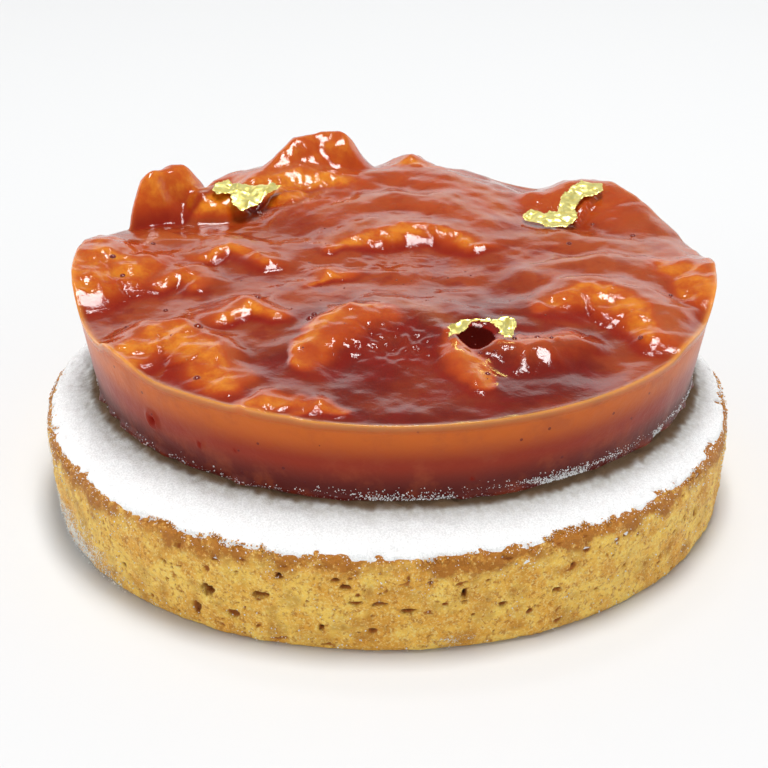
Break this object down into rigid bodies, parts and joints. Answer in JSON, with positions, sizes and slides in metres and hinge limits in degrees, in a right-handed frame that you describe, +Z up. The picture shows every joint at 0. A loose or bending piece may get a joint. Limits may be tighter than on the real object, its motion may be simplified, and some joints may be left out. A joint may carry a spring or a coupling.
{
  "type": "tarte tatin",
  "caption": "Individual tarte tatin: a sugar-dusted round biscuit base carrying a moulded layer of glazed caramelised apple with gold leaf on top.",
  "frame": {"origin": "middle of the biscuit's underside", "axes": "+Z up from the surface it stands on, -Y towards the front"},
  "size_m": [0.0802, 0.0799, 0.0309],
  "materials": {
    "biscuit": "baked golden shortcrust, matte, crumbly and pitted",
    "icing_sugar": "dry white powder",
    "glazed_apple": "translucent caramel glaze over amber apple, glossy on top and satin on the moulded side",
    "gold_leaf": "crumpled bright gold leaf"
  },
  "bodies": {
    "root": {"biscuit_base": "biscuit", "icing_sugar": "icing_sugar", "apple_layer": "glazed_apple", "gold_leaf_left": "gold_leaf", "gold_leaf_front": "gold_leaf", "gold_leaf_back": "gold_leaf"}
  },
  "joints": []
}
